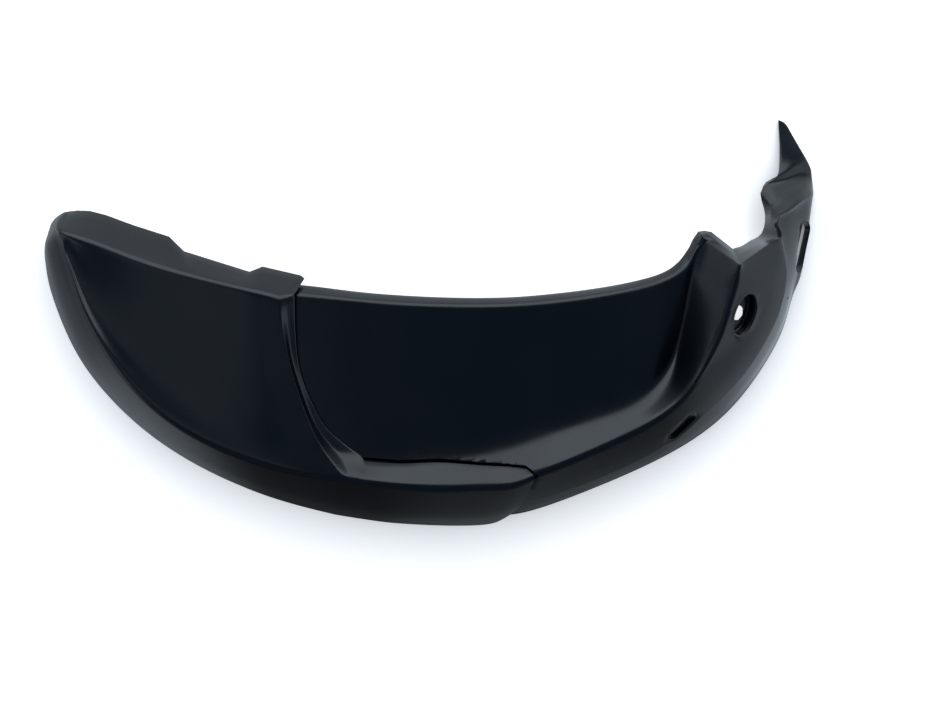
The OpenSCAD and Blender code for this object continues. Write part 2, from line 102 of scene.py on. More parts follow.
# The flange behind the crease, then the tip above the end plate, whose rows start further right.
FLANGE = [
    [(223, 52, 70), (233, 57, 62), (243, 62, 52), (255, 68, 42), (255, 85, 39), (262, 96, 32), (277, 103, 21),
     (289, 109, 9), (296, 112, 0)],
    [(223, 58, 56), (231, 60, 49), (239, 64, 40), (250, 70, 30), (253, 84, 28), (250, 103, 26),
     (267, 110, 18), (282, 116, 8), (295, 120, 0)],
]
TIP = [
    [(263, 113.6, 19), (274, 119, 13), (284, 124, 6), (292, 127, 0)],
    [(267.3, 125, 12), (275, 129, 8), (281.5, 132, 4), (287, 135.5, 0)],
    [(268.3, 141, 7), (273.5, 143, 4.5), (277.8, 144.4, 2.2), (281.2, 145, 0)],
    [(267.8, 159, 3), (270, 158.4, 2), (272.6, 157.4, 1), (275.4, 155, 0)],
]
# Rows of the end cover, in mm, from its rounded nose to the right edge of its face.
# Each row: flange back, crease, three across the face, ridge, mid band, limb, crown.
COVER = [
    [(-282, 85.6, 41), (-286, 83.8, 39), (-289.5, 81.7, 37), (-292.7, 79.4, 34), (-295, 77, 32),
     (-297, 74.4, 29), (-301.5, 69.3, 20), (-304.5, 65.2, 9), (-305, 61.5, 0)],
    [(-280, 85.9, 42), (-283, 78, 57), (-284, 76, 57), (-285, 75, 56), (-285, 74, 56), (-286, 72, 55),
     (-296.5, 63.5, 42), (-302.5, 58, 24), (-306, 56, 0)],
    [(-277.5, 86.4, 41), (-277, 71, 69), (-277, 70, 69), (-277, 69, 69), (-277, 68, 69), (-276, 66, 68),
     (-290.5, 59, 55), (-299.3, 51, 34), (-306, 49, 0)],
    [(-271, 86.9, 43), (-271, 69, 71), (-270, 62, 71), (-270, 54, 72), (-269, 49, 73), (-268, 43, 76),
     (-285, 38, 58), (-298, 32, 33), (-305, 31, 0)],
    [(-261, 86.5, 46), (-260, 65, 75), (-261, 52, 74), (-261, 38, 75), (-260, 28, 77), (-259, 18, 82),
     (-278, 14, 60), (-291, 10, 33), (-297, 9, 0)],
    [(-247.6, 83.2, 50), (-244, 60, 79), (-246, 38, 78), (-247, 18, 79), (-248, 5, 82), (-246, -7, 87),
     (-266, -16, 60), (-279, -21, 32), (-284, -22, 0)],
    [(-226, 75.5, 54), (-222, 51, 83), (-224, 22, 82), (-226, -5, 83), (-228, -20, 86), (-228, -34, 91),
     (-246, -43, 60), (-260, -50, 30), (-264, -52, 0)],
    [(-198.5, 66.9, 58), (-195, 42, 86), (-198, 6, 85), (-200, -27, 86), (-201, -45, 89), (-203, -61, 94),
     (-218, -73, 60), (-230, -82, 27), (-234, -84, 0)],
    [(-186.5, 56, 63), (-170, 36, 88), (-170, -6, 88), (-170, -44, 90), (-170, -64, 92), (-170, -82, 96),
     (-183, -97, 60), (-193, -108, 25), (-196, -110, 0)],
    [(-137, 40.8, 69), (-144, 30, 90), (-142, -16, 90), (-139, -57, 92), (-136, -78, 95), (-133, -97, 98),
     (-144, -116, 60), (-153, -128, 23), (-155, -129, 0)],
    [(-128, 44.6, 64), (-124, 25, 90), (-121, -23, 90), (-112, -67, 92), (-105, -87, 95), (-97, -105, 100),
     (-107, -128, 60), (-115, -141, 22), (-116, -142, 0)],
    [(-99.5, 38, 64), (-113, 22, 90), (-105, -25, 90), (-90, -71, 92), (-77, -93, 95), (-63, -110, 100),
     (-71, -137, 60), (-80, -150, 22), (-80, -151, 0)],
]
# The side wall's foot from the flange back down to the start of the tongue, then the tongue.
FOOT = [(-96.8, 35.7, 64.6), (-102, 24.4, 83), (-99, -30, 82), (-79, -74, 83), (-52, -97, 84),
        (-50, -112, 100), (-55, -139, 60), (-62, -153, 22), (-62, -154, 0)]
TONGUE = [
    [(-26, -99, 84.4), (-26, -115, 100), (-30, -143, 60), (-35, -157, 20), (-35, -158, 0)],
    [(4, -98, 84.4), (5, -117, 100), (3, -145, 60), (1, -159, 20), (1, -160, 0)],
    [(34, -100, 86), (34, -116, 100), (32, -144, 60), (30, -159, 20), (30, -160, 0)],
    [(54, -101, 87.4), (57, -115, 100), (52, -141, 60), (45, -157, 20), (43, -158, 0)],
    [(67, -102, 89.4), (74, -108, 99.5), (65, -134, 64), (54, -150, 32), (44, -158, 0)],
]

# The tongue's outline over the panel, seen from above: its top edge and its end.
TONGUE_EDGE = [(-60, -96.5), (-52, -97), (-26, -99), (4, -98), (34, -100), (54, -101), (67, -102), (76, -109)]
TONGUE_END = [(80, -104), (76, -109), (66, -134.5), (54, -151), (44, -160)]
# The stretch of the panel beside the tongue, in the part's frame: its left, right and upper limit.
TONGUE_STRETCH = (-70 * MM, 100 * MM, -85 * MM)

# How the columns of a section are drawn between the shared points: first column, last column, kind, faces.
PANEL_SPANS = [(0, 1, "line", 2), (1, 3, "arc", 6), (3, 6, "line", 9), (6, 8, "arc", 8), (8, 9, "line", 5),
               (9, 11, "arc", 7), (11, 14, "curve", 10), (14, 15, "curve", 9), (15, 19, "curve", 14)]
COVER_SPANS = [(0, 1, "line", 3), (1, 3, "arc", 7), (3, 10, "curve", 24), (10, 12, "arc", 8),
               (12, 17, "curve", 18)]
# Fine rows between two rows of the tables, between two rows of the flange, and between two rows of the tip.
ROW_STEPS = 9
FLANGE_STEPS = 5
TIP_STEPS = 4
# The columns from which the tip and the tongue carry on alone.
TIP_FROM = 16
TONGUE_FROM = 9

# Where each hole sits on the panel: row, column and turn in degrees.
FIX_PLACE = (14.55, 12, 0)
SLOT_PLACE = (10.6, 13.6, 14)
END_SLOT_PLACE = (16.3, 17.4, -8)
PIN_PLACE = (15.05, 15.7, 0)

# The joggle: the row and the columns where it begins and ends, each with the length of its slope.
JOGGLE_ROW = (14.6, 1.0)
JOGGLE_START = (14.3, 0.4)
JOGGLE_END = (16.5, 2)


class MudguardShape(bpy.types.PropertyGroup):
    panel_wall: bpy.props.FloatProperty(
        name="Panel wall", description="Wall thickness of the main panel", default=3.0 * MM, unit="LENGTH")
    cover_wall: bpy.props.FloatProperty(
        name="Cover wall", description="Wall thickness of the end cover", default=3.0 * MM, unit="LENGTH")
    ridge_round: bpy.props.FloatProperty(
        name="Ridge rounding", description="How far the rounding reaches to each side of the ridge",
        default=6.0 * MM, unit="LENGTH")
    rim_round: bpy.props.FloatProperty(
        name="Rim rounding", description="How far the rounding reaches to each side of the rim",
        default=4.0 * MM, unit="LENGTH")
    valley_round: bpy.props.FloatProperty(
        name="Valley rounding", description="How far the rounding reaches at the foot of the wall",
        default=11.0 * MM, unit="LENGTH")
    crease_round: bpy.props.FloatProperty(
        name="Crease rounding", description="Rounding of the plate's top crease and the cover's right edge",
        default=2.2 * MM, unit="LENGTH")
    edge_round: bpy.props.FloatProperty(
        name="Edge rounding", description="Broken edge along every rim of the mouldings",
        default=0.6 * MM, unit="LENGTH")
    joggle_step: bpy.props.FloatProperty(
        name="Joggle", description="Step down in front of the end plate", default=2.0 * MM, unit="LENGTH")
    tongue_gap: bpy.props.FloatProperty(
        name="Tongue gap", description="Open line between the cover's tongue and the panel's ledge",
        default=1.0 * MM, unit="LENGTH")
    tongue_sink: bpy.props.FloatProperty(
        name="Tongue recess", description="How far the panel steps down under the tongue", default=3.8 * MM,
        unit="LENGTH")


class MudguardHoles(bpy.types.PropertyGroup):
    bore: bpy.props.FloatProperty(
        name="Main bore", description="Diameter of the main fixing bore", default=11.0 * MM, unit="LENGTH")
    seat_l: bpy.props.FloatProperty(
        name="Seat length", description="Length of the sunk oval seat", default=31.0 * MM, unit="LENGTH")
    seat_w: bpy.props.FloatProperty(
        name="Seat width", description="Width of the sunk oval seat", default=19.0 * MM, unit="LENGTH")
    seat_deep: bpy.props.FloatProperty(
        name="Seat depth", description="Depth of the sunk seat", default=7.5 * MM, unit="LENGTH")
    seat_lip: bpy.props.FloatProperty(
        name="Seat lip", description="Rounded mouth of the sunk seat", default=1.5 * MM, unit="LENGTH")
    slot_lip: bpy.props.FloatProperty(
        name="Slot lip", description="Rounded mouth of the slots", default=1.0 * MM, unit="LENGTH")
    slot_deep: bpy.props.FloatProperty(
        name="Slot collar", description="Depth of the lower slot's wall", default=6.0 * MM, unit="LENGTH")
    end_slot_deep: bpy.props.FloatProperty(
        name="End slot collar", description="Depth of the end slot's wall", default=6.0 * MM, unit="LENGTH")
    slot_w: bpy.props.FloatProperty(
        name="Slot width", description="Width of the lower slot", default=10.5 * MM, unit="LENGTH")
    slot_l: bpy.props.FloatProperty(
        name="Slot length", description="Length of the lower slot", default=26.0 * MM, unit="LENGTH")
    end_slot_w: bpy.props.FloatProperty(
        name="End slot width", description="Width of the slot in the end plate", default=13.0 * MM,
        unit="LENGTH")
    end_slot_l: bpy.props.FloatProperty(
        name="End slot length", description="Length of the slot in the end plate", default=40.0 * MM,
        unit="LENGTH")
    pin: bpy.props.FloatProperty(
        name="Pin hole", description="Diameter of the locating pin hole", default=2.2 * MM, unit="LENGTH")


class MudguardFinish(bpy.types.PropertyGroup):
    plastic: bpy.props.FloatVectorProperty(
        name="Plastic", description="Colour of the moulded plastic", subtype="COLOR", size=3,
        default=(0.0012, 0.0022, 0.0036), min=0.0, max=1.0)
    roughness: bpy.props.FloatProperty(
        name="Roughness", description="Roughness of the satin surface", default=0.25, min=0.0, max=1.0)
    grain: bpy.props.FloatProperty(
        name="Grain", description="Size of the moulded grain", default=0.7 * MM, unit="LENGTH")
    steel: bpy.props.FloatVectorProperty(
        name="Screw steel", description="Colour of the zinc plated screws", subtype="COLOR", size=3,
        default=(0.55, 0.56, 0.58), min=0.0, max=1.0)


class MudguardStage(bpy.types.PropertyGroup):
    floor: bpy.props.FloatVectorProperty(
        name="Floor", description="Colour of the pale floor", subtype="COLOR", size=3,
        default=(0.86, 0.86, 0.85), min=0.0, max=1.0)
    glow_front: bpy.props.FloatProperty(
        name="Front glow", description="Brightness of the floor in front, as it mirrors in the object",
        default=0.16, min=0.0)
    glow_left: bpy.props.FloatProperty(
        name="Left glow", description="Brightness of the floor at the left, as it mirrors in the object",
        default=0.4, min=0.0)
    glow_rim: bpy.props.FloatProperty(
        name="Far glow", description="Brightness of the floor beyond the rim, as it mirrors in the object",
        default=0.8, min=0.0)
    glow_right: bpy.props.FloatProperty(
        name="Right glow", description="Brightness of the floor at the right, as it mirrors in the object",
        default=1.0, min=0.0)
    glow_corner: bpy.props.FloatProperty(
        name="Corner glow", default=0.06, min=0.0,
        description="Brightness of the floor at the front left, as it mirrors in the object")
    seen_glow: bpy.props.FloatProperty(
        name="Seen glow", description="Brightness that the floor adds for the camera", default=0.9, min=0.0)
    contact_reach: bpy.props.FloatProperty(
        name="Contact shadow", description="How far from the object the floor's glow is darker",
        default=45 * MM, unit="LENGTH")
    zenith: bpy.props.FloatProperty(
        name="Zenith", description="Brightness of the room above", default=0.19, min=0.0)
    key_power: bpy.props.FloatProperty(
        name="Key light", description="Power of the large light beyond the rim", default=17.0, min=0.0)
    cover_power: bpy.props.FloatProperty(
        name="Cover light", description="Power of the weak light above the cover", default=0.65, min=0.0)
    left_power: bpy.props.FloatProperty(
        name="Left light", description="Power of the light at the cover's end", default=1.5, min=0.0)
    right_power: bpy.props.FloatProperty(
        name="Right light", description="Power of the light at the plate's end", default=1.9, min=0.0)


def shape():
    return bpy.context.scene.mudguard_shape


def holes():
    return bpy.context.scene.mudguard_holes


def finish():
    return bpy.context.scene.mudguard_finish


def stage():
    return bpy.context.scene.mudguard_stage


def placed(points):
    """Points of a table, in metres, in the part's frame."""
    return (np.array(points, float) - MIDDLE) * MM


def lerp(a, b, t):
    return a + (b - a) * t


def unit(v):
    return v / max(np.linalg.norm(v), 1e-12)


def curve(p0, p1, p2, p3, t):
    """A smooth curve through p1 and p2, at t between them."""
    return 0.5 * (2 * p1 + (p2 - p0) * t + (2 * p0 - 5 * p1 + 4 * p2 - p3) * t * t
                  + (3 * p1 - p0 - 3 * p2 + p3) * t ** 3)


def rounded(a, b, c, reach):
    """Three points that round the corner at b between a and c."""
    first = b + unit(a - b) * min(reach, 0.45 * np.linalg.norm(a - b))
    last = b + unit(c - b) * min(reach, 0.45 * np.linalg.norm(c - b))
    return [first, (first + 2 * b + last) / 4, last]


def smooth(t):
    """Rises softly from 0 to 1 as t does."""
    t = np.clip(t, 0.0, 1.0)
    return t * t * (3 - 2 * t)


def ramp(t, start, length):
    """Rises softly from 0 to 1 over a length from the start."""
    return smooth((t - start) / length)


def along_curve(points, where):
    """The points at the given places of a smooth curve through a list of points."""
    last = len(points) - 1
    out = []
    for t in where:
        k = min(int(t), last - 1)
        out.append(curve(points[max(0, k - 1)], points[k], points[k + 1], points[min(last, k + 2)], t - k))
    return out


def refined(section, spans):
    """A section's columns, drawn finely with its lines, arcs and curves."""
    out = [section[0]]
    run_start = 0
    for index, (first, last, kind, faces) in enumerate(spans):
        part = section[first:last + 1]
        if kind == "curve" and spans[index - 1][2] != "curve":
            run_start = first
        run_end = last
        for span in spans[index + 1:]:
            if span[2] != "curve":
                break
            run_end = span[1]
        for k in range(1, faces + 1):
            t = k / faces
            if kind == "arc":
                corner = (4 * part[1] - part[0] - part[2]) / 2
                out.append(lerp(lerp(part[0], corner, t), lerp(corner, part[2], t), t))
            elif kind == "line":
                place = t * (len(part) - 1)
                j = min(int(place), len(part) - 2)
                out.append(lerp(part[j], part[j + 1], place - j))
            else:
                run = section[run_start:run_end + 1]
                out.extend(along_curve(run, [first - run_start + t * (last - first)]))
    return np.array(out)


def column_places(spans):
    """Which shared column, with a fraction, each fine column stands for."""
    out = [float(spans[0][0])]
    for first, last, _, faces in spans:
        out.extend(first + (last - first) * k / faces for k in range(1, faces + 1))
    return np.array(out)


def between_rows(rows, steps):
    """Rows between the given ones, on smooth curves along each column, the last row left out."""
    out = []
    last = len(rows) - 1
    for i in range(last):
        for s in range(steps):
            out.append(curve(rows[max(0, i - 1)], rows[i], rows[i + 1], rows[min(last, i + 2)], s / steps))
    return out


def evened(rows, passes, keep_last):
    """Rows with the small waves along their columns smoothed out, their first and last ones kept."""
    rows = np.array(rows)
    fixed = rows.copy()
    for _ in range(passes):
        rows[1:-1] = 0.25 * rows[:-2] + 0.5 * rows[1:-1] + 0.25 * rows[2:]
        rows[-keep_last:] = fixed[-keep_last:]
    share = np.linspace(0, 1, keep_last)[:, None, None]
    start = len(rows) - 2 * keep_last
    rows[start:start + keep_last] = lerp(rows[start:start + keep_last], fixed[start:start + keep_last], share)
    return list(rows)


def crease_rows(before, at, after, reach, faces=6):
    """Rows that round the crease at a row between the rows on its two sides."""
    corners = [rounded(a, b, c, reach) for a, b, c in zip(before, at, after)]
    out = []
    for k in range(faces + 1):
        t = k / faces
        out.append(np.array([lerp(lerp(a, b, t), lerp(b, c, t), t) for (a, _, c), b in zip(corners, at)]))
    return out


def straight_rows(first, last, steps):
    """Rows after the first one, evenly spaced up to the last one."""
    return [lerp(first, last, k / steps) for k in range(1, steps + 1)]


def panel_section(points):
    """A row of the main panel with its corners rounded, as shared columns."""
    s = shape()
    q = placed(points)
    rim = rounded(q[0], q[1], q[2], s.rim_round)
    valley = rounded(q[1], q[2], q[3], s.valley_round)
    ridge = rounded(q[2], q[3], q[4], s.ridge_round)
    return np.array(
        [q[0]] + rim + [lerp(rim[2], valley[0], 0.35), lerp(rim[2], valley[0], 0.7)] + valley + ridge
        + [curve(q[3], q[3], q[4], q[5], 0.4), curve(q[3], q[3], q[4], q[5], 0.7), q[4],
           curve(q[3], q[4], q[5], q[6], 0.14), curve(q[3], q[4], q[5], q[6], 0.45),
           curve(q[3], q[4], q[5], q[6], 0.75), q[5], q[6]])


def crease_section():
    """The end row, from the peak down the plate's top crease."""
    t = placed(PEAK)
    c = placed(CREASE)
    return np.array(
        [t[0]] + rounded(t[0], t[1], t[2], shape().rim_round)
        + [lerp(t[1], t[2], 0.5), lerp(t[1], t[2], 0.75), t[2]]
        + [lerp(t[2], c[0], k) for k in (0.06, 0.15, 0.85)] + [c[0], lerp(c[0], c[1], 0.2)] + list(c[1:]))


def flange_section(points, share):
    """A row of the flange behind the crease; the share says how far it has left the peak."""
    c = placed(points)
    peak = lerp(placed(PEAK[1]), placed(PEAK_BACK), share)
    back = lerp(placed(PEAK[0]), placed(PEAK_MIDDLE), share)
    return np.array(
        [lerp(back, peak, k) for k in (0, 0.5, 0.8)]
        + [lerp(peak, c[0], k) for k in (0, 0.12, 0.18, 0.24, 0.29, 0.36, 0.87)]
        + [c[0], lerp(c[0], c[1], 0.2)] + list(c[1:]))


def tip_section(points):
    """A row of the tip, whose columns before the tip fall together."""
    c = placed(points)
    return np.array([c[0]] * TIP_FROM + list(c))


def joggled(rows, places):
    """Steps the plate down behind the joggle, which fades out along the panel."""
    across = ramp(places, *JOGGLE_START) * (1 - ramp(places, *JOGGLE_END))
    down = np.array([-0.7, 0, -0.7]) * shape().joggle_step
    for i, row in enumerate(rows):
        row += ramp(i / ROW_STEPS, *JOGGLE_ROW) * across[:, None] * down


def panel_grid():
    """The main panel's outer side as fine rows and columns, and which of its cells are there."""
    s = shape()
    crease = crease_section()
    body = between_rows([panel_section(p) for p in PANEL] + [crease], ROW_STEPS)
    body = evened(body, 60, 3 * ROW_STEPS)
    body = [refined(r, PANEL_SPANS) for r in body]
    places = column_places(PANEL_SPANS)
    joggled(body, places)
    crease = refined(crease, PANEL_SPANS)
    back = [refined(flange_section(p, (k + 1) / 2), PANEL_SPANS) for k, p in enumerate(FLANGE)]
    tip = [refined(tip_section(p), PANEL_SPANS) for p in TIP]
    rows = body + crease_rows(body[-1], crease, back[0], s.crease_round)
    rows += straight_rows(rows[-1], back[0], FLANGE_STEPS) + straight_rows(back[0], back[1], FLANGE_STEPS)
    flange_end = len(rows) - 1
    rows += between_rows(back + tip[:3], TIP_STEPS)[TIP_STEPS + 1:] + [tip[2]]
    rows += straight_rows(tip[2], tip[3], TIP_STEPS)

    def there(i, j):
        return i < flange_end or places[j] >= TIP_FROM
    return rows, there, places


def cover_section(points):
    """A row of the end cover with its corners rounded, as shared columns."""
    s = shape()
    q = placed(points)
    return np.array(
        [q[0]] + rounded(q[0], q[1], q[2], s.rim_round)
        + [curve(q[1], q[1], q[2], q[3], 0.55), q[2], curve(q[1], q[2], q[3], q[4], 0.5), q[3],
           curve(q[2], q[3], q[4], q[5], 0.5), q[4]]
        + rounded(q[4], q[5], q[6], s.ridge_round)
        + [curve(q[5], q[5], q[6], q[7], 0.55), q[6], curve(q[5], q[6], q[7], q[8], 0.5), q[7], q[8]])


def foot_section():
    """The foot of the cover's side wall, with the same columns as the cover's rows."""
    q = placed(FOOT)
    return np.array(
        [q[0], lerp(q[1], q[0], 0.18), lerp(q[1], q[0], 0.08), q[1]]
        + [curve(q[1], q[1], q[2], q[3], 0.55), q[2], curve(q[1], q[2], q[3], q[4], 0.5), q[3],
           curve(q[2], q[3], q[4], q[5], 0.5), q[4]]
        + rounded(q[4], q[5], q[6], shape().ridge_round)
        + [curve(q[5], q[5], q[6], q[7], 0.55), q[6], curve(q[5], q[6], q[7], q[8], 0.5), q[7], q[8]])


def tongue_section(points):
    """A row of the tongue, whose columns before its top edge fall together."""
    q = placed(points)
    return np.array(
        [q[0]] * 10 + rounded(q[0], q[1], q[2], shape().ridge_round)
        + [curve(q[1], q[1], q[2], q[3], 0.55), q[2], curve(q[1], q[2], q[3], q[4], 0.5), q[3], q[4]])


def cover_grid():
    """The end cover's outer side as fine rows and columns, and which of its cells are there."""
    s = shape()
    sections = [cover_section(p) for p in COVER]
    face = evened(between_rows(sections, ROW_STEPS), 40, ROW_STEPS)
    for k, r in enumerate(face):
        at, step = divmod(k, ROW_STEPS)
        r[0] = lerp(sections[at][0], sections[at + 1][0], step / ROW_STEPS)
    face = [refined(r, COVER_SPANS) for r in face]
    edge = refined(cover_section(COVER[-1]), COVER_SPANS)
    foot = refined(foot_section(), COVER_SPANS)
    ends = [foot_section()] + [tongue_section(p) for p in TONGUE]
    tongue = [refined(r, COVER_SPANS) for r in between_rows(ends, ROW_STEPS)[1:] + ends[-1:]]
    places = column_places(COVER_SPANS)
    turn = smooth((places - 3) / 2)[:, None]
    bend = lerp(edge, foot, lerp(0.5, 0.3, turn))
    bend[:, 2:] = lerp(edge[:, 2:], foot[:, 2:], lerp(0.5, 0.7, turn))
    rows = face + crease_rows(face[-1], edge, bend, s.crease_round)
    rows += straight_rows(rows[-1], lerp(edge, bend, 0.75), 2)
    rows += crease_rows(rows[-1], bend, foot, 1.5 * s.crease_round)[1:]
    rows += straight_rows(rows[-1], foot, 4)
    side_end = len(rows) - 1
    rows += tongue

    def there(i, j):
        return i < side_end or places[j] >= TONGUE_FROM
    return rows, there, places


def faced_up(bm):
    """Turns the faces of a sheet so that its outer side is up."""
    bmesh.ops.recalc_face_normals(bm, faces=bm.faces)
    if sum(f.normal.z * f.calc_area() for f in bm.faces) < 0:
        bmesh.ops.reverse_faces(bm, faces=bm.faces)


def sheet_mesh(rows, there):
    """A bmesh grid on the fine rows, with the cells that aren't there deleted."""
    bm = bmesh.new()
    count = len(rows[0])
    bmesh.ops.create_grid(bm, x_segments=count - 1, y_segments=len(rows) - 1, size=1.0)
    bm.verts.ensure_lookup_table()
    for k, v in enumerate(bm.verts):
        i, j = divmod(k, count)
        v.co = Vector(rows[i][j])
    bm.faces.ensure_lookup_table()
    gone = [f for k, f in enumerate(bm.faces) if not there(*divmod(k, count - 1))]
    bmesh.ops.delete(bm, geom=gone, context="FACES")
    bmesh.ops.remove_doubles(bm, verts=bm.verts, dist=0.02 * MM)
    bmesh.ops.dissolve_degenerate(bm, edges=bm.edges, dist=0.01 * MM)
    faced_up(bm)
    return bm


def with_edges(faces):
    """Faces together with their edges and corners, each once and always in the same order."""
    edges = dict.fromkeys(e for f in faces for e in f.edges)
    verts = dict.fromkeys(v for f in faces for v in f.verts)
    return [*faces, *edges, *verts]


def beside(edge, p):
    """How far a place lies outside a line of points; below zero on the line's right-hand side."""
    best = None
    for a, b in zip(edge, edge[1:]):
        d = b - a
        t = max(0.0, min(1.0, (p - a).dot(d) / d.dot(d)))
        away = math.copysign((p - a - d * t).length, d.x * (p.y - a.y) - d.y * (p.x - a.x))
        if best is None or abs(away) < abs(best):
            best = away
    return best


def tongue_recess(bm):
    """Steps the panel down under the cover's tongue, with an open line along the tongue's outline."""
    s = shape()
    edge, end = (
        [Vector(p[:2]) for p in placed([(*p, 0) for p in line])] for line in (TONGUE_EDGE, TONGUE_END))
    clear = 0.3 * MM
    for a, b in zip(edge, edge[1:]):
        d = (b - a).normalized()
        n = Vector((-d.y, d.x))
        for shift in (clear, clear + s.tongue_gap):
            def close(f):
                c = f.calc_center_median().to_2d() - a
                return -4 * MM < c.dot(d) < (b - a).length + 4 * MM and abs(c.dot(n)) < 7 * MM
            near = [f for f in bm.faces if close(f)]
            bmesh.ops.bisect_plane(
                bm, geom=with_edges(near), dist=0.02 * MM, plane_co=(*(a + n * shift), 0), plane_no=(*n, 0))
    bm.normal_update()
    left, right, top = TONGUE_STRETCH
    moves = []
    for v in bm.verts:
        if left < v.co.x < right and v.co.y < top:
            past = beside(edge, v.co.to_2d())
            share = (1 - smooth((past - clear) / s.tongue_gap)) * smooth((past + 14 * MM) / (8 * MM))
            share *= 1 - smooth((beside(end, v.co.to_2d()) + 1 * MM) / (2 * MM))
            moves.append((v, v.normal * s.tongue_sink * float(share)))
    for v, move in moves:
        v.co -= move


def surface_frame(rows, places, place):
    """A rigid frame on the panel's outer side: X along its rows before the turn, Z straight out."""
    row, column, turn = place
    i = row * ROW_STEPS
    j = int(np.searchsorted(places, column)) - 1
    share = (column - places[j]) / (places[j + 1] - places[j])
    k = int(i)

    def at(a, b):
        return lerp(rows[a][b], rows[a][b + 1], share)
    origin = lerp(at(k, j), at(k + 1, j), i - k)
    along = unit(at(k + ROW_STEPS, j) - at(k - ROW_STEPS, j))
    out = unit(np.cross(rows[k][j + 1] - rows[k][j], along))
    side = np.cross(out, along)
    m = Matrix.Identity(4)
    for c, v in enumerate((along, side, out, origin)):
        for r in range(3):
            m[r][c] = v[r]
    return m @ Matrix.Rotation(math.radians(turn), 4, "Z")


def outline_planes(length, width, oval, count=20):
    """Tangent lines of a hole, oval or with round ends, as a direction and a distance each."""
    out = []
    for k in range(2 * count):
        angle = math.pi * (k + 0.5) / count
        d = Vector((math.cos(angle), math.sin(angle), 0))
        ends = math.hypot(length * d.x, width * d.y) / 2
        out.append((d, ends if oval else width / 2 + (length - width) / 2 * abs(d.x)))
    return out


def on_outline(p, length, width, oval):
    """Where the outline of a hole passes nearest to a place beside it."""
    if oval:
        return p.to_2d() / math.hypot(2 * p.x / length, 2 * p.y / width)
    half = (length - width) / 2
    middle = Vector((max(-half, min(half, p.x)), 0))
    return middle + (p.to_2d() - middle).normalized() * width / 2


def cut_hole(bm, m, length, width, oval):
    """Cuts a hole into the sheet at a frame, and returns the edges around it."""
    inverse = m.inverted()

    def close(f):
        c = inverse @ f.calc_center_median()
        return abs(c.z) < 8 * MM and c.to_2d().length < length / 2 + 10 * MM
    near = [f for f in bm.faces if close(f)]
    for d, distance in outline_planes(length, width, oval):
        cut = bmesh.ops.bisect_plane(
            bm, geom=with_edges(near), dist=1e-7, plane_co=m @ (d * distance),
            plane_no=(m.to_3x3() @ d).normalized())
        faces = dict.fromkeys(f for f in near if f.is_valid)
        faces.update(dict.fromkeys(f for f in cut["geom"] if isinstance(f, bmesh.types.BMFace)))
        near = [f for f in faces if (inverse @ f.calc_center_median()).dot(d) < distance]
    verts = dict.fromkeys(v for f in near for v in f.verts)
    bmesh.ops.delete(bm, geom=near, context="FACES")
    around = dict.fromkeys(e for v in verts if v.is_valid for e in v.link_edges)
    return [e for e in around if len(e.link_faces) == 1 and all(v in verts for v in e.verts)]


def extruded(bm, edges, move):
    """Extrudes a loop of edges and places its new points with a function of the old place."""
    made = bmesh.ops.extrude_edge_only(bm, edges=edges)["geom"]
    for v in made:
        if isinstance(v, bmesh.types.BMVert):
            v.co = move(v.co)
    return [e for e in made if isinstance(e, bmesh.types.BMEdge) and len(e.link_faces) == 1]


def dished(bm, m, length, width, reach, depth, oval=False):
    """Lowers the sheet softly around a hole's outline, or raises it where the depth is below zero."""
    inverse = m.inverted()
    normal = m.to_3x3() @ Vector((0, 0, 1))
    for v in bm.verts:
        p = inverse @ v.co
        if abs(p.z) > 8 * MM or p.to_2d().length > length:
            continue
        edge = on_outline(p, length, width, oval)
        away = (p.to_2d() - edge).length if p.to_2d().length > edge.length else 0.0
        v.co -= normal * depth * float(smooth(1 - away / reach))


def well(bm, m, length, width, mouth, depth, oval=False):
    """Cuts a hole with a rounded mouth and a straight wall, and returns the edges at its lower end."""
    edges = cut_hole(bm, m, length + 2 * mouth, width + 2 * mouth, oval)
    inverse = m.inverted()

    def ring(grow, level, keep=0.0):
        def move(co):
            p = inverse @ co
            q = on_outline(p, length + 2 * grow, width + 2 * grow, oval)
            return m @ Vector((q.x, q.y, lerp(level, p.z, keep)))
        return move
    for k in range(1, 6):
        angle = math.pi / 2 * k / 5
        edges = extruded(bm, edges, ring(mouth * (1 - math.sin(angle)), mouth * (math.cos(angle) - 1), 0.6))
    for share in (0.35, 0.7, 1.0):
        edges = extruded(bm, edges, ring(0, -depth * share))
    return edges


def seat_floor(bm, m, edges, length, width, depth, corner, bore):
    """Closes a sunk oval seat with a rounded corner and a floor down to a round bore."""
    inverse = m.inverted()
    for k in range(1, 4):
        angle = math.pi / 2 * k / 3
        shrink = 2 * corner * (1 - math.cos(angle))

        def rounding(co):
            q = on_outline(inverse @ co, length - shrink, width - shrink, True)
            return m @ Vector((q.x, q.y, -depth - corner * math.sin(angle)))
        edges = extruded(bm, edges, rounding)

    def to_bore(co):
        d = (inverse @ co).to_2d().normalized() * bore / 2
        return m @ Vector((d.x, d.y, -depth - corner))
    extruded(bm, edges, to_bore)


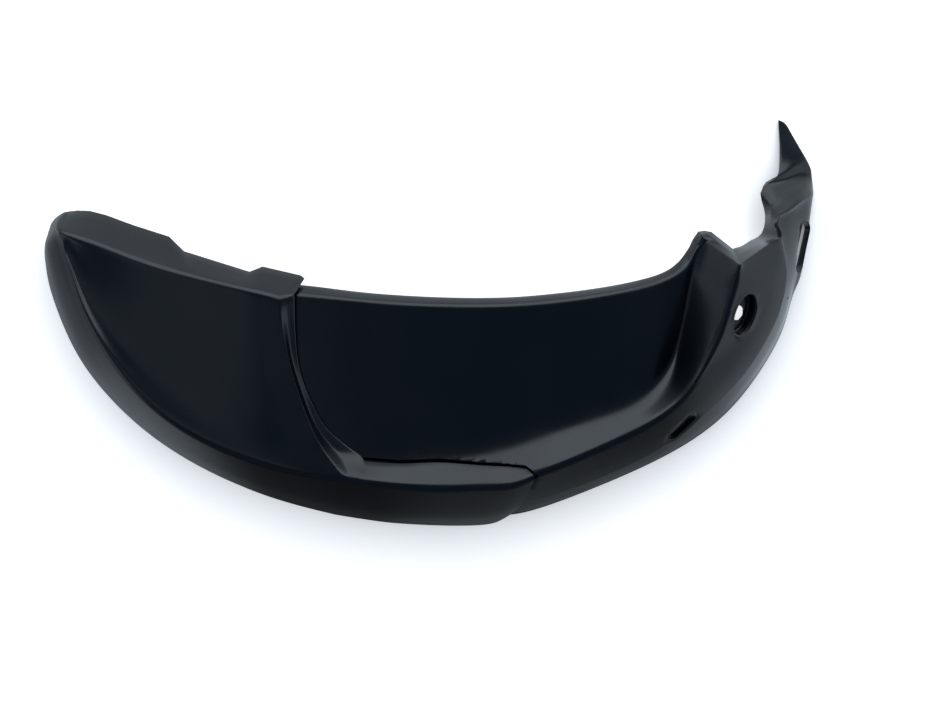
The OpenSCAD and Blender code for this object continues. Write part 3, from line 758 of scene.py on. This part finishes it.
def shell_object(name, bm, wall):
    """The sheet as a closed moulding: wall added inwards, the split plane kept flat, its edges broken."""
    faced_up(bm)
    mesh = bpy.data.meshes.new(name)
    bm.to_mesh(mesh)
    bm.free()
    obj = bpy.data.objects.new(name, mesh)
    bpy.context.scene.collection.objects.link(obj)
    solid = obj.modifiers.new("Wall", "SOLIDIFY")
    solid.thickness = wall
    solid.offset = -1
    solid.use_even_offset = True
    solid.thickness_clamp = 1.2
    solid.use_quality_normals = True
    bpy.context.view_layer.update()
    done = bpy.data.meshes.new_from_object(obj.evaluated_get(bpy.context.evaluated_depsgraph_get()))
    obj.modifiers.clear()
    obj.data = done
    done.name = name
    bpy.data.meshes.remove(mesh)
    bm = bmesh.new()
    bm.from_mesh(done)
    for v in bm.verts:
        v.co.z = max(v.co.z, 0.0)
    bm.normal_update()
    sharp = [e for e in bm.edges if len(e.link_faces) == 2 and e.calc_face_angle(0) > math.radians(55)]
    bmesh.ops.bevel(bm, geom=sharp, offset=shape().edge_round, segments=2, profile=0.5, affect="EDGES",
                    material=-1, clamp_overlap=True)
    for f in bm.faces:
        f.smooth = True
    bm.to_mesh(done)
    bm.free()
    return obj


def plastic_material():
    """Satin black moulded plastic with a fine grain and a softly varying sheen."""
    f = finish()
    mat = bpy.data.materials.new("satin_plastic")
    mat.use_nodes = True
    nodes, links = mat.node_tree.nodes, mat.node_tree.links
    bsdf = nodes["Principled BSDF"]
    bsdf.inputs["Metallic"].default_value = 0.0
    bsdf.inputs["IOR"].default_value = 1.5
    where = nodes.new("ShaderNodeTexCoord")
    fine = nodes.new("ShaderNodeTexNoise")
    fine.inputs["Scale"].default_value = 1 / f.grain
    fine.inputs["Detail"].default_value = 3.0
    links.new(where.outputs["Object"], fine.inputs["Vector"])
    cloud = nodes.new("ShaderNodeTexNoise")
    cloud.inputs["Scale"].default_value = 22.0
    cloud.inputs["Detail"].default_value = 5.0
    links.new(where.outputs["Object"], cloud.inputs["Vector"])
    rough = nodes.new("ShaderNodeMapRange")
    rough.inputs["From Min"].default_value = 0.3
    rough.inputs["From Max"].default_value = 0.7
    rough.inputs["To Min"].default_value = f.roughness - 0.05
    rough.inputs["To Max"].default_value = f.roughness + 0.05
    links.new(cloud.outputs["Fac"], rough.inputs["Value"])
    links.new(rough.outputs["Result"], bsdf.inputs["Roughness"])
    tint = nodes.new("ShaderNodeValToRGB")
    base = tuple(f.plastic)
    tint.color_ramp.elements[0].position = 0.3
    tint.color_ramp.elements[0].color = (*[c * 0.8 for c in base], 1)
    tint.color_ramp.elements[1].position = 0.75
    tint.color_ramp.elements[1].color = (*[c * 1.35 for c in base], 1)
    links.new(fine.outputs["Fac"], tint.inputs["Fac"])
    links.new(tint.outputs["Color"], bsdf.inputs["Base Color"])
    bump = nodes.new("ShaderNodeBump")
    bump.inputs["Distance"].default_value = 0.05 * MM
    bump.inputs["Strength"].default_value = 0.35
    links.new(fine.outputs["Fac"], bump.inputs["Height"])
    links.new(bump.outputs["Normal"], bsdf.inputs["Normal"])
    return mat


def steel_material():
    """Zinc plated steel with uneven roughness."""
    f = finish()
    mat = bpy.data.materials.new("zinc_steel")
    mat.use_nodes = True
    nodes, links = mat.node_tree.nodes, mat.node_tree.links
    bsdf = nodes["Principled BSDF"]
    bsdf.inputs["Metallic"].default_value = 1.0
    bsdf.inputs["Base Color"].default_value = (*f.steel, 1)
    where = nodes.new("ShaderNodeTexCoord")
    noise = nodes.new("ShaderNodeTexNoise")
    noise.inputs["Scale"].default_value = 900.0
    links.new(where.outputs["Object"], noise.inputs["Vector"])
    rough = nodes.new("ShaderNodeMapRange")
    rough.inputs["To Min"].default_value = 0.28
    rough.inputs["To Max"].default_value = 0.45
    links.new(noise.outputs["Fac"], rough.inputs["Value"])
    links.new(rough.outputs["Result"], bsdf.inputs["Roughness"])
    return mat


def material(name, maker):
    return bpy.data.materials.get(name) or maker()


def dressed(obj, node, mat):
    """Gives a shell its finish and lets it stand in for its CAD node."""
    obj.data.materials.clear()
    obj.data.materials.append(mat)
    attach(obj, "root")
    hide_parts(node)


class MUDGUARD_OT_main_panel(bpy.types.Operator):
    """Build the recessed main panel with its holes"""
    bl_idname = "mudguard.main_panel"
    bl_label = "Main Panel"

    def execute(self, context):
        h = holes()
        rows, there, places = panel_grid()
        bm = sheet_mesh(rows, there)
        fix = surface_frame(rows, places, FIX_PLACE)
        slot = surface_frame(rows, places, SLOT_PLACE)
        end_slot = surface_frame(rows, places, END_SLOT_PLACE)
        pin = surface_frame(rows, places, PIN_PLACE)
        tongue_recess(bm)
        dished(bm, fix, h.seat_l, h.seat_w, 4 * MM, -0.7 * MM, oval=True)
        dished(bm, slot, h.slot_l, h.slot_w, 5 * MM, 0.9 * MM)
        dished(bm, end_slot, h.end_slot_l, h.end_slot_w, 3 * MM, 0.6 * MM)
        corner = 1.5 * MM
        edges = well(bm, fix, h.seat_l, h.seat_w, h.seat_lip, h.seat_deep - corner, oval=True)
        seat_floor(bm, fix, edges, h.seat_l, h.seat_w, h.seat_deep - corner, corner, h.bore)
        well(bm, slot, h.slot_l, h.slot_w, h.slot_lip, h.slot_deep)
        well(bm, end_slot, h.end_slot_l, h.end_slot_w, h.slot_lip, h.end_slot_deep)
        well(bm, pin, h.pin, h.pin, 0.3 * MM, shape().panel_wall)
        obj = shell_object("main_panel_shell", bm, shape().panel_wall)
        dressed(obj, "main_panel", material("satin_plastic", plastic_material))
        return {"FINISHED"}


class MUDGUARD_OT_end_cover(bpy.types.Operator):
    """Build the smooth end cover with its tongue"""
    bl_idname = "mudguard.end_cover"
    bl_label = "End Cover"

    def execute(self, context):
        rows, there, places = cover_grid()
        bm = sheet_mesh(rows, there)
        obj = shell_object("end_cover_shell", bm, shape().cover_wall)
        dressed(obj, "end_cover", material("satin_plastic", plastic_material))
        return {"FINISHED"}


class MUDGUARD_OT_screws(bpy.types.Operator):
    """Finish the hidden cover screws"""
    bl_idname = "mudguard.screws"
    bl_label = "Cover Screws"

    def execute(self, context):
        for name in ("cover_screw_1", "cover_screw_2", "cover_screw_3"):
            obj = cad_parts[name]
            obj.data.materials.clear()
            obj.data.materials.append(material("zinc_steel", steel_material))
        return {"FINISHED"}


def area_light(name, place, target, size, power):
    """A soft, slightly blue rectangle of light, turned towards its target."""
    data = bpy.data.lights.new(name, "AREA")
    data.shape = "RECTANGLE"
    data.size, data.size_y = size
    data.energy = power
    data.color = (0.84, 0.92, 1.0)
    obj = bpy.data.objects.new(name, data)
    obj.location = place
    obj.rotation_euler = (Vector(target) - Vector(place)).to_track_quat("-Z", "Y").to_euler()
    bpy.context.scene.collection.objects.link(obj)
    return obj


def glow_by_direction(nodes, links):
    """The floor's glow in mirrored rays, which changes around the object."""
    s = stage()
    where = nodes.new("ShaderNodeTexCoord")
    split = nodes.new("ShaderNodeSeparateXYZ")
    angle = nodes.new("ShaderNodeMath")
    angle.operation = "ARCTAN2"
    turn = nodes.new("ShaderNodeMapRange")
    turn.inputs["From Min"].default_value = -math.pi
    turn.inputs["From Max"].default_value = math.pi
    around = nodes.new("ShaderNodeValToRGB")
    around.color_ramp.interpolation = "EASE"
    stops = ((0.0, s.glow_left), (0.06, s.glow_left), (0.14, s.glow_corner), (0.2, s.glow_corner),
             (0.27, s.glow_front), (0.4, s.glow_front), (0.5, s.glow_right), (0.62, s.glow_right),
             (0.72, s.glow_rim), (0.86, s.glow_rim), (1.0, s.glow_left))
    for _ in range(len(stops) - 2):
        around.color_ramp.elements.new(0.5)
    for stop, (place, value) in zip(around.color_ramp.elements, stops):
        stop.position = place
        stop.color = (0.8 * value, 0.9 * value, value, 1)
    glow = nodes.new("ShaderNodeEmission")
    links.new(where.outputs["Object"], split.inputs["Vector"])
    links.new(split.outputs["Y"], angle.inputs[0])
    links.new(split.outputs["X"], angle.inputs[1])
    links.new(angle.outputs["Value"], turn.inputs["Value"])
    links.new(turn.outputs["Result"], around.inputs["Fac"])
    links.new(around.outputs["Color"], glow.inputs["Color"])
    return glow


def seen_by_camera(nodes, links, otherwise, seen, target):
    """Shows one shader to the camera and the other one to every other ray."""
    path = nodes.new("ShaderNodeLightPath")
    pick = nodes.new("ShaderNodeMixShader")
    links.new(path.outputs["Is Camera Ray"], pick.inputs["Fac"])
    links.new(otherwise.outputs[0], pick.inputs[1])
    links.new(seen.outputs[0], pick.inputs[2])
    links.new(pick.outputs["Shader"], target.inputs["Surface"])


def floor_material():
    """Pale floor: lit, glowing and darker close to the object for the camera, else its glow by direction."""
    s = stage()
    mat = bpy.data.materials.new("pale_floor")
    mat.use_nodes = True
    nodes, links = mat.node_tree.nodes, mat.node_tree.links
    bsdf = nodes["Principled BSDF"]
    bsdf.inputs["Base Color"].default_value = (*s.floor, 1)
    bsdf.inputs["Roughness"].default_value = 0.9
    seen_glow = nodes.new("ShaderNodeEmission")
    seen_glow.inputs["Strength"].default_value = s.seen_glow
    contact = nodes.new("ShaderNodeAmbientOcclusion")
    contact.inputs["Distance"].default_value = s.contact_reach
    total = nodes.new("ShaderNodeAddShader")
    links.new(contact.outputs["Color"], seen_glow.inputs["Color"])
    links.new(bsdf.outputs["BSDF"], total.inputs[0])
    links.new(seen_glow.outputs["Emission"], total.inputs[1])
    seen_by_camera(nodes, links, glow_by_direction(nodes, links), total, nodes["Material Output"])
    return mat


def floor_object():
    bm = bmesh.new()
    bmesh.ops.create_grid(bm, x_segments=1, y_segments=1, size=4.0)
    mesh = bpy.data.meshes.new("floor")
    bm.to_mesh(mesh)
    bm.free()
    mesh.materials.append(floor_material())
    floor = bpy.data.objects.new("floor", mesh)
    bpy.context.scene.collection.objects.link(floor)
    return floor


def studio_world():
    """A dim blue room above the object, with a white background for the camera."""
    world = bpy.data.worlds.new("studio")
    bpy.context.scene.world = world
    world.use_nodes = True
    nodes, links = world.node_tree.nodes, world.node_tree.links
    dim = nodes["Background"]
    dim.inputs["Color"].default_value = (0.4, 0.65, 1.0, 1)
    dim.inputs["Strength"].default_value = stage().zenith
    white = nodes.new("ShaderNodeBackground")
    white.inputs["Color"].default_value = (1, 1, 1, 1)
    white.inputs["Strength"].default_value = 1.0
    seen_by_camera(nodes, links, dim, white, nodes["World Output"])


def camera():
    """The camera almost straight above the object, as in the photo."""
    data = bpy.data.cameras.new("camera")
    data.lens = 50
    data.sensor_width = 36
    data.clip_start = 0.05
    cam = bpy.data.objects.new("camera", data)
    cam.location = (0.0346, 0.04687, 1.04769)
    cam.rotation_euler = (math.radians(-4), 0, 0)
    bpy.context.scene.collection.objects.link(cam)
    return cam


class MUDGUARD_OT_stage(bpy.types.Operator):
    """Set the pale floor, the soft lights and the camera"""
    bl_idname = "mudguard.stage"
    bl_label = "Stage"

    def execute(self, context):
        s = stage()
        floor_object()
        studio_world()
        area_light("beyond_rim", (0, 1.2, 0.56), (0, 0.0, 0.05), (2.6, 1.05), s.key_power)
        area_light("above_cover", (-0.625, 0.1, 1.2), (-0.625, 0.1, 0), (0.65, 1.2), s.cover_power)
        area_light("left_end", (-1.25, -0.05, 0.36), (-0.2, 0, 0.05), (1.2, 0.6), s.left_power)
        area_light("right_end", (1.25, 0.0, 0.36), (0.2, 0, 0.05), (1.2, 0.6), s.right_power)
        context.scene.camera = camera()
        context.scene.view_settings.view_transform = "Standard"
        return {"FINISHED"}


class MUDGUARD_PT_panel(bpy.types.Panel):
    bl_label = "Mudguard"
    bl_idname = "MUDGUARD_PT_panel"
    bl_space_type = "VIEW_3D"
    bl_region_type = "UI"
    bl_category = "Mudguard"

    def draw(self, context):
        for group in (shape(), holes(), finish(), stage()):
            box = self.layout.box()
            for name in group.__annotations__:
                box.prop(group, name)
        for op in OPERATORS:
            self.layout.operator(op.bl_idname)


GROUPS = {
    "mudguard_shape": MudguardShape,
    "mudguard_holes": MudguardHoles,
    "mudguard_finish": MudguardFinish,
    "mudguard_stage": MudguardStage,
}
OPERATORS = (MUDGUARD_OT_main_panel, MUDGUARD_OT_end_cover, MUDGUARD_OT_screws, MUDGUARD_OT_stage)


def register():
    for cls in (*GROUPS.values(), *OPERATORS, MUDGUARD_PT_panel):
        bpy.utils.register_class(cls)
    for name, cls in GROUPS.items():
        setattr(bpy.types.Scene, name, bpy.props.PointerProperty(type=cls))


def unregister():
    for name in GROUPS:
        delattr(bpy.types.Scene, name)
    for cls in reversed((*GROUPS.values(), *OPERATORS, MUDGUARD_PT_panel)):
        bpy.utils.unregister_class(cls)


def main():
    register()
    bpy.ops.mudguard.main_panel()
    bpy.ops.mudguard.end_cover()
    bpy.ops.mudguard.screws()
    bpy.ops.mudguard.stage()


if __name__ == "__main__":
    main()
